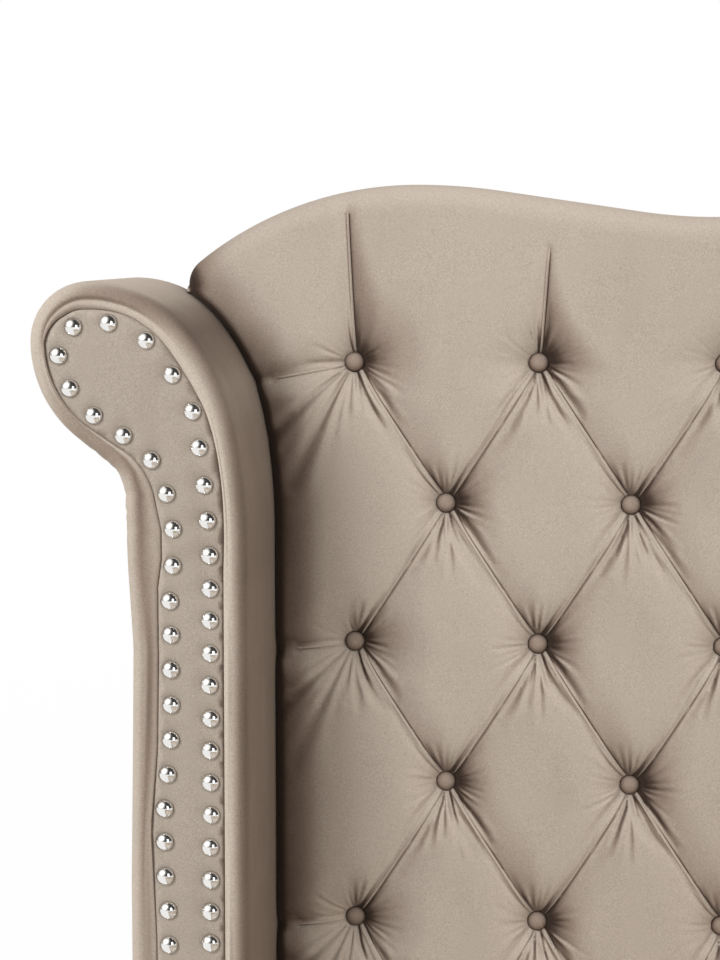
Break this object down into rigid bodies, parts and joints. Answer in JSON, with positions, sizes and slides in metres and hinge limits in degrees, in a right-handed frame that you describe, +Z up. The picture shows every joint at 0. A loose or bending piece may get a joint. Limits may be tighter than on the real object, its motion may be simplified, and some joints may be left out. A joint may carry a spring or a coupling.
{
  "type": "double bed",
  "caption": "Upholstered double bed frame: diamond-tufted headboard between nailed scroll wings, padded rails, footboard and slat deck.",
  "frame": {"origin": "on the floor, at the middle of the bed's footprint", "axes": "+Z up, +Y back to the headboard, -Y to the foot, +X to the right as seen from the foot"},
  "size_m": [1.8924, 2.089, 1.45],
  "materials": {
    "velvet": "short-pile velvet",
    "polished_nails": "polished",
    "pine": "planed",
    "birch_ply": "sanded",
    "board": "raw plywood",
    "hardboard": "smooth hardboard",
    "webbing": "woven",
    "dark_foot": "satin stain",
    "black_plastic": "moulded",
    "zinc_steel": "zinc plated"
  },
  "bodies": {
    "bed": {"bracket_bolts": "zinc_steel", "centre_leg_1": "pine", "centre_leg_2": "pine", "centre_leg_3": "pine", "centre_rail": "pine", "centre_rail_hanger_foot": "zinc_steel", "centre_rail_hanger_head": "zinc_steel", "corner_bracket_foot_left": "zinc_steel", "corner_bracket_foot_right": "zinc_steel", "corner_bracket_head_left": "zinc_steel", "corner_bracket_head_right": "zinc_steel", "foot_glides": "black_plastic", "foot_left": "dark_foot", "foot_right": "dark_foot", "footboard_board": "board", "footboard_cover": "velvet", "head_glides": "black_plastic", "headboard_apron": "velvet", "headboard_back_panel": "hardboard", "headboard_board": "board", "headboard_border": "velvet", "headboard_buttons": "velvet", "headboard_cross_rails": "pine", "headboard_pad": "velvet", "headboard_post_left": "pine", "headboard_post_right": "pine", "headboard_top_rail": "pine", "ledger_left": "pine", "ledger_right": "pine", "leg_insert_1": "zinc_steel", "leg_insert_2": "zinc_steel", "leg_insert_3": "zinc_steel", "side_rail_board_left": "board", "side_rail_board_right": "board", "side_rail_cover_left": "velvet", "side_rail_cover_right": "velvet", "slat_tapes": "webbing", "slats": "birch_ply", "wing_bolts": "zinc_steel", "wing_cover_left": "velvet", "wing_cover_right": "velvet", "wing_facing_left": "velvet", "wing_facing_right": "velvet", "wing_frame_left": "board", "wing_frame_right": "board", "wing_nails_left": "polished_nails", "wing_nails_right": "polished_nails"},
    "leveller_1": {"leveller_screw_1": "zinc_steel", "leveller_pad_1": "black_plastic"},
    "leveller_2": {"leveller_screw_2": "zinc_steel", "leveller_pad_2": "black_plastic"},
    "leveller_3": {"leveller_screw_3": "zinc_steel", "leveller_pad_3": "black_plastic"}
  },
  "joints": [
    {"name": "leveller_1_travel", "type": "slide", "parent": "bed", "child": "leveller_1", "axis": [0, 0, 1], "range_m": [-0.01, 0.012]},
    {"name": "leveller_2_travel", "type": "slide", "parent": "bed", "child": "leveller_2", "axis": [0, 0, 1], "range_m": [-0.01, 0.012]},
    {"name": "leveller_3_travel", "type": "slide", "parent": "bed", "child": "leveller_3", "axis": [0, 0, 1], "range_m": [-0.01, 0.012]}
  ]
}
